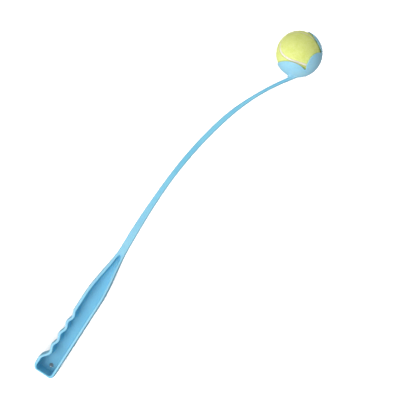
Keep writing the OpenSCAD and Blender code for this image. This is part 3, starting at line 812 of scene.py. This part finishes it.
def cup_shell(share, rows):
    """The sphere at a share of the wall, out to the rounding of the claw's edge: each row runs from the rear
    tip to the front one at a share of the latitude that the edge reaches on its meridian."""
    edge = claw_edge(RIM_ROUND, share)
    middle = wall_centre(share)
    longitude = np.unwrap(np.arctan2(edge[:, 1] - middle[1], edge[:, 0]))
    latitude = np.arctan2(edge[:, 2], np.hypot(edge[:, 0], edge[:, 1] - middle[1]))
    latitude = np.linspace(-1, 1, rows)[:, None] * latitude
    return np.append(middle, 0) + wall_r(share) * np.stack([
        np.cos(latitude) * np.cos(longitude),
        np.cos(latitude) * np.sin(longitude),
        np.sin(latitude),
    ], axis=-1)


def claw_ring(turn):
    """The claw's edge, once round, where its rounding, half an ellipse over the wall, has turned by turn."""
    edge = claw_edge(RIM_ROUND - (RIM_ROUND - RIM_SHORT) * np.sin(turn), (1 + np.cos(turn)) / 2)
    return np.concatenate([edge, (edge * [1, 1, -1])[-2:0:-1]])


def on_stick(points):
    """Points on the claw's own axes, as points on the stick's."""
    opening = np.append(way(CUP_DIR), 0.0)
    front = opening[[1, 0, 2]] * [1, -1, 1]
    return ball_centre + points @ np.array([front, opening, [0.0, 0.0, 1.0]])


rim_turn = np.linspace(0, np.pi, RIM_ROWS)
skin = Skin()
# The cup's outside is paled by wear and by a painted sheen; its inside is not
skin.cover(grid_quads(skin.add(on_stick(cup_shell(1.0, SHELL_ROWS)), CUP_WEAR_AND_SHEEN)))
rim = on_stick(np.array([claw_ring(turn) for turn in rim_turn]))
# The claw's rounding carries the outside's wear and painted sheen over into its edge's own wear
rim_wear_and_sheen = CUP_WEAR_AND_SHEEN * (1 + np.cos(rim_turn)) / 2 + EDGE_WEAR * np.sin(rim_turn)
skin.cover(tube_quads(skin.add(rim, rim_wear_and_sheen[:, None])))
skin.cover(grid_quads(skin.add(on_stick(cup_shell(0.0, SHELL_ROWS))))[:, ::-1])
skin.piece("cup_skin", plastic, "stick", "moulding", "cup")

# Ball core. Two rubber half-shells, bonded into one hollow ball under the felt. Their solids stay as they are
# and get a plain moulded rubber.


def moulded_rubber():
    """Natural rubber: a grey brown that darkens in patches, with a dull, fine-grained skin."""
    finish = Finish(bpy.data.materials.new("core_rubber"), Specular_IOR_Level=0.3)
    patch = finish.noise(9, detail=4)
    grain = finish.noise(0.5, detail=3)
    return finish.feed(
        Base_Color=finish.blend(patch.clipped(0.35, 0.7), linear("7a7066"), linear("5d554e")),
        Roughness=0.65 + 0.2 * patch,
        Normal=finish.bump(grain, 0.04, 0.6),
    )


rubber = moulded_rubber()
for node in ("ball_core_upper", "ball_core_lower"):
    for core_slot in frame["nodes"][node].material_slots:
        core_slot.material = rubber

# Felt panels. Two dog-bone panels of napped felt, cemented on to the core with a seam between them. The nap
# is brushed into low tufts, and loose fibres lie over it in every direction.
SEAM_W, SEAM_SINK, SEAM_GAP = 3.2, 0.7, 0.2
FELT_IN_R = 28.684
BALL_TURN = np.radians([-72.0, -52.7, 174.6])
# Radius of the panels' rounded edges, and the tufts' height, greatest and least lengths and number of waves
NAP_EDGE_R = 0.9
TUFT_H, TUFT_LONG, TUFT_SHORT, TUFT_WAVES = 0.07, 9.0, 3.0, 60
# Rows and columns of a panel, how much its columns crowd towards the edges, and how pale its nap is
PANEL_ROWS, PANEL_COLUMNS, PANEL_CROWD, NAP_PALE = 150, 96, 0.5, 0.3
# The row nearest to a panel's end, from its middle
PANEL_END = np.radians(88.5)
FIBRES, FIBRE_R, FIBRE_LEN = 9500, (0.04, 0.07), (2.2, 4.6)
FIBRE_SUNK, FIBRE_LIFT = 0.25, (0.06, 0.3)
# How many places are tried for a fibre, since half lie on the other panel, where its rings lie along it and
# how thick they are, how much it curls and how far it arches over
FIBRE_TRIES = 4
FIBRE_AT, FIBRE_THICK = (0, 0.25, 0.6, 1), (0, 1, 0.8, 0)
FIBRE_CURL, FIBRE_ARCH = 0.35, np.radians(125)

turn_x, turn_y, turn_z = (Matrix.Rotation(angle, 3, axis) for angle, axis in zip(BALL_TURN, "XYZ"))
ball_axes = np.array(turn_z @ turn_y @ turn_x)
chance = np.random.default_rng(7)


def on_ball(points):
    """Points on the ball's own axes, about its centre, as points on the stick's. The nap is pressed flat
    where the ball lies on the ground: what would be under it is lifted on to it."""
    points = ball_centre + points @ ball_axes.T
    under = np.maximum(-laid(points)[..., 2] / MM, 0)
    return points + under[..., None] * [0.0, 0.0, 1 / w_axis[2]]


def seam_dir(t):
    """The seam's middle on the unit sphere: (3cos t + cos 3t)/4, (3sin t - sin 3t)/4 and sqrt(3)/2 sin 2t."""
    return np.stack([
        0.75 * np.cos(t) + 0.25 * np.cos(3 * t),
        0.75 * np.sin(t) - 0.25 * np.sin(3 * t),
        np.sqrt(0.75) * np.sin(2 * t),
    ], axis=-1)


def seam_across(t):
    """Unit vector across the seam, towards the first panel: the outward direction times the seam's own."""
    step = 0.001
    return unit(np.cross(seam_dir(t), seam_dir(t + step) - seam_dir(t - step)))


def panel_dirs():
    """Directions of a panel's grid: each row is an arc from one side of the dog-bone to the other, between
    edges that lie half a seam and a gap from the seam's middle. Rows crowd towards the ends and columns
    towards the edges."""
    tau = PANEL_END * np.sin(np.linspace(-np.pi / 2, np.pi / 2, PANEL_ROWS))
    swing = (SEAM_W / 2 + SEAM_GAP) / BALL_R
    a, b = (
        seam_dir(t) * np.cos(swing) + seam_across(t) * np.sin(swing)
        for t in (np.pi / 4 + tau, 5 * np.pi / 4 - tau)
    )
    span = np.arccos(np.clip((a * b).sum(-1), -1, 1))[:, None, None]
    even = np.linspace(0, 1, PANEL_COLUMNS)
    f = mix(even, (1 - np.cos(np.pi * even)) / 2, PANEL_CROWD)[None, :, None]
    return (a[:, None] * np.sin((1 - f) * span) + b[:, None] * np.sin(f * span)) / np.sin(span)


SEAM_MARKS = 720
seam_marks = np.linspace(0, 2 * np.pi, SEAM_MARKS + 1)[:-1]
seam_mark_dirs = seam_dir(seam_marks)
seam_mark_across = seam_across(seam_marks)


def past_seam(dirs):
    """Distance of directions from the seam's middle on the ball's surface, and the seam's nearest mark."""
    near = dirs @ seam_mark_dirs.T
    return BALL_R * np.arccos(np.clip(near.max(-1), -1, 1)), near.argmax(-1)


def tufts(dirs):
    """Height of the tufts, about -1 to 1: a sum of plane waves of random directions, lengths and phases."""
    ways = unit(chance.normal(size=(TUFT_WAVES, 3)))
    lengths = chance.uniform(TUFT_SHORT, TUFT_LONG, (TUFT_WAVES, 1))
    waves = ways * 2 * np.pi * BALL_R / lengths
    phases = chance.uniform(0, 2 * np.pi, TUFT_WAVES)
    return np.cos(dirs @ waves.T + phases).sum(-1) / np.sqrt(TUFT_WAVES)


def felt_fibres():
    """Loose fibres of the first panel, as thin three-sided needles: each leaves the nap, lies along a curling
    path over it and ends free. Returns points (fibre, station, side, 3)."""
    dirs = unit(chance.normal(size=(FIBRE_TRIES * FIBRES, 3)))
    apart, mark = past_seam(dirs)
    inside = ((dirs * seam_mark_across[mark]).sum(-1) > 0) & (apart > SEAM_W / 2 + SEAM_GAP)
    dirs = dirs[inside][:FIBRES, None, None]
    along = unit(np.cross(dirs, chance.normal(size=dirs.shape)))
    side = np.cross(dirs, along)
    shape = (len(dirs), 1, 1, 1)
    share = np.array(FIBRE_AT).reshape(1, -1, 1, 1)
    length = chance.uniform(*FIBRE_LEN, shape) / BALL_R
    curl = chance.normal(0, FIBRE_CURL, shape)
    lift = mix(-FIBRE_SUNK, chance.uniform(*FIBRE_LIFT, shape), np.sin(share * FIBRE_ARCH))
    path = unit(dirs + length * share * along + length * curl * share ** 2 * side) * (BALL_R + lift)
    turn = np.radians([90, 210, 330]).reshape(1, 1, 3, 1)
    thick = chance.uniform(*FIBRE_R, shape) * np.array(FIBRE_THICK).reshape(1, -1, 1, 1)
    return path + thick * (np.cos(turn) * side + np.sin(turn) * dirs)


def napped_felt():
    """Tennis felt: yellow-green wool and nylon, clouded where the nap is brushed apart, with paler and deeper
    fibres and the soft pale bloom of loose hairs."""
    finish = Finish(
        bpy.data.materials.new("yellow_felt"),
        Specular_IOR_Level=0.1, Sheen_Weight=0.25, Sheen_Roughness=0.6, Sheen_Tint=linear("eef2b8"),
    )
    cloud = finish.noise(11, detail=3, roughness=0.6, distortion=0.6)
    tuft = finish.noise(2.4, detail=4, roughness=0.6, distortion=1.2)
    hair = finish.noise(0.45, detail=3, roughness=0.7)
    shade = finish.wear()
    body = finish.blend(cloud.clipped(0.3, 0.7), linear("dfe87a"), linear("e8ef8e"))
    tufted = finish.blend(tuft.clipped(0.45, 0.75) * 0.55, body, linear("eef3ae"))
    parted = finish.blend((1 - tuft).clipped(0.55, 0.8) * 0.4, tufted, linear("bcc64e"))
    haired = finish.blend(shade * 0.5, parted, linear("f0f4be"))
    return finish.feed(
        Base_Color=haired,
        Roughness=0.85 + 0.15 * hair,
        Normal=finish.bump(hair, 0.12, 0.8, finish.bump(tuft, 0.35, 0.6)),
    )


felt = napped_felt()
dirs = panel_dirs()
from_edge = past_seam(dirs)[0] - SEAM_W / 2 - SEAM_GAP
rounding = NAP_EDGE_R - np.sqrt(NAP_EDGE_R ** 2 - np.clip(NAP_EDGE_R - from_edge, 0, NAP_EDGE_R) ** 2)
for letter, flip in (("a", (1, 1, 1)), ("b", (1, -1, -1))):
    skin = Skin()
    radius = BALL_R - rounding + TUFT_H * tufts(dirs)
    nap, root = (skin.add(on_ball(dirs * flip * r), NAP_PALE) for r in (radius[..., None], FELT_IN_R))
    skin.cover(grid_quads(nap)[:, ::-1])
    skin.cover(grid_quads(root))
    edges = [block_edge(grid.T, (0, PANEL_COLUMNS - 1), (0, PANEL_ROWS - 1)) for grid in (nap, root)]
    skin.cover(tube_quads(np.stack(edges)))
    fibres = felt_fibres()
    needle = skin.add(on_ball(fibres * flip), chance.uniform(0, 1, (len(fibres), 1, 1)))
    needle[:, [0, -1]] = needle[:, [0, -1], :1]
    skin.cover(tube_quads(needle))
    skin.piece(f"felt_{letter}_nap", felt, "ball", "felt", f"felt_panel_{letter}")

# Seam. The band of off-white rubber cement that fills the gap between the two panels. It lies a little lower
# than the nap, and its top has sunk into a shallow hollow.
SEAM_DIP, SEAM_ROUND = 0.22, 0.3
SEAM_STATIONS, SEAM_EDGE_POINTS, SEAM_TOP_POINTS = 480, 6, 11


def seam_section():
    """The band's section, once round, as distances across it and radii: two sides with rounded top edges and
    a top that dips by the parabola 1 - x^2."""
    half, top = SEAM_W / 2, BALL_R - SEAM_SINK
    turn = np.radians(np.linspace(0, 90, SEAM_EDGE_POINTS))
    x = np.linspace(-1, 1, SEAM_TOP_POINTS)[1:-1] * (half - SEAM_ROUND)
    edge_x, edge_top = half - SEAM_ROUND * (1 - np.cos(turn)), top - SEAM_ROUND * (1 - np.sin(turn))
    dip = top - SEAM_DIP * (1 - (x / (half - SEAM_ROUND)) ** 2)
    across = np.concatenate([[-half], -edge_x, x, edge_x[::-1], [half]])
    radius = np.concatenate([[FELT_IN_R], edge_top, dip, edge_top[::-1], [FELT_IN_R]])
    return across, radius


def rubber_cement():
    """Seam cement: matt off-white, greyed a little by dust in its hollow, with lint and small bubbles."""
    finish = Finish(bpy.data.materials.new("seam_cement"), Specular_IOR_Level=0.25)
    dust = finish.noise(3.5, detail=4, roughness=0.6)
    pore = finish.noise(0.6, detail=3)
    return finish.feed(
        Base_Color=finish.blend(dust.clipped(0.45, 0.75) * 0.6, linear("f2eae6"), linear("dcd6c4")),
        Roughness=0.6 + 0.2 * dust,
        Normal=finish.bump(pore, 0.08, 0.6),
    )


across, radius = seam_section()
t = np.linspace(0, 2 * np.pi, SEAM_STATIONS + 1)[:-1, None]
band = unit(seam_dir(t) + seam_across(t) * (across / BALL_R)[None, :, None]) * radius[None, :, None]
skin = Skin()
rings = skin.add(on_ball(band))
skin.cover(tube_quads(np.concatenate([rings, rings[:1]]))[:, ::-1])
skin.piece("seam_band", rubber_cement(), "ball", "seam_cement", "ball_seam")

# Studio. A white paper floor with a ring of lamps of its own, so that shadows on it stay faint. The object
# has a large soft key light from the fingers' side and the butt, a low light from beyond the butt, and a sky
# that is brightest overhead, and below the horizon stands in for the light that a white floor throws back.
FLOOR_REACH = 7.0
PAPER_DEEP, PAPER_PALE = (0.5, 0.5, 0.5, 1), (0.54, 0.54, 0.54, 1)
RING_LAMPS, RING_REACH, RING_H, RING_SIZE, RING_POWER = 6, 4.4, 2.5, 1.5, 260.0
KEY_AT, KEY_SIZE, KEY_POWER = (-0.95, 0.7, 1.85), 1.3, 19.5
LOW_AT, LOW_SIZE, LOW_POWER = (-2.2, 0.1, 0.9), 1.0, 26.0
SKY_TOP, SKY_SIDE, SKY_LOW, SKY_TILT = 0.7, 0.42, 0.52, 0.06
# Where below the horizon the sky has become the floor's light, and how white it is behind the floor
SKY_TURN, BACKDROP = -0.2, 1.4


def lamp(name, size, power, place, lit):
    """A round area light at a place, turned to the middle of the floor, that lights one collection alone."""
    data = bpy.data.lights.new(name, "AREA")
    data.shape, data.size, data.energy = "DISK", size, power
    made = bpy.data.objects.new(name, data)
    made.location = place
    made.rotation_mode = "QUATERNION"
    made.rotation_quaternion = (-made.location).to_track_quat("-Z", "Y")
    made.visible_camera = False
    made.light_linking.receiver_collection = lit
    scene.collection.objects.link(made)


floor_mesh = bpy.data.meshes.new("floor")
reach = FLOOR_REACH / 2
corners = [(-reach, -reach, 0), (reach, -reach, 0), (reach, reach, 0), (-reach, reach, 0)]
floor_mesh.from_pydata(corners, [], [(0, 1, 2, 3)])
floor_finish = Finish(bpy.data.materials.new("white_floor"), Roughness=0.9, Specular_IOR_Level=0.1)
paper = floor_finish.noise(400)
floor_mesh.materials.append(floor_finish.feed(Base_Color=floor_finish.blend(paper, PAPER_DEEP, PAPER_PALE)))
floor = bpy.data.objects.new("floor", floor_mesh)
floor.visible_diffuse = False
floor.visible_glossy = False
scene.collection.objects.link(floor)

all_but_floor = bpy.data.collections.new("all_but_floor")
all_but_floor.objects.link(floor)
all_but_floor.collection_objects[0].light_linking.link_state = "EXCLUDE"
lamp("key", KEY_SIZE, KEY_POWER, KEY_AT, all_but_floor)
lamp("low_light", LOW_SIZE, LOW_POWER, LOW_AT, all_but_floor)
floor_only = bpy.data.collections.new("floor_only")
floor_only.objects.link(floor)
for k in range(RING_LAMPS):
    turn = 2 * np.pi * k / RING_LAMPS
    ring_place = (RING_REACH * np.cos(turn), RING_REACH * np.sin(turn), RING_H)
    lamp(f"floor_lamp_{k}", RING_SIZE, RING_POWER, ring_place, floor_only)

sky = Finish(bpy.data.worlds.new("sky"), "Background", "Generated", Color=(1, 1, 1, 1))
height, side = (sky.node("ShaderNodeSeparateXYZ", {}, {"Vector": sky.where}, out=axis) for axis in "ZY")
above = sky.node("ShaderNodeMapRange", {}, {"Value": height, "To Min": SKY_SIDE, "To Max": SKY_TOP})
below = sky.node(
    "ShaderNodeMapRange", {},
    {"Value": height, "From Min": SKY_TURN, "From Max": 0, "To Min": SKY_LOW - SKY_SIDE, "To Max": 0},
)
seen = sky.node("ShaderNodeLightPath", out="Is Camera Ray")
scene.world = sky.feed(Strength=(above + below + SKY_TILT * side) * (1 - seen) + BACKDROP * seen)
scene.view_settings.view_transform = "Standard"
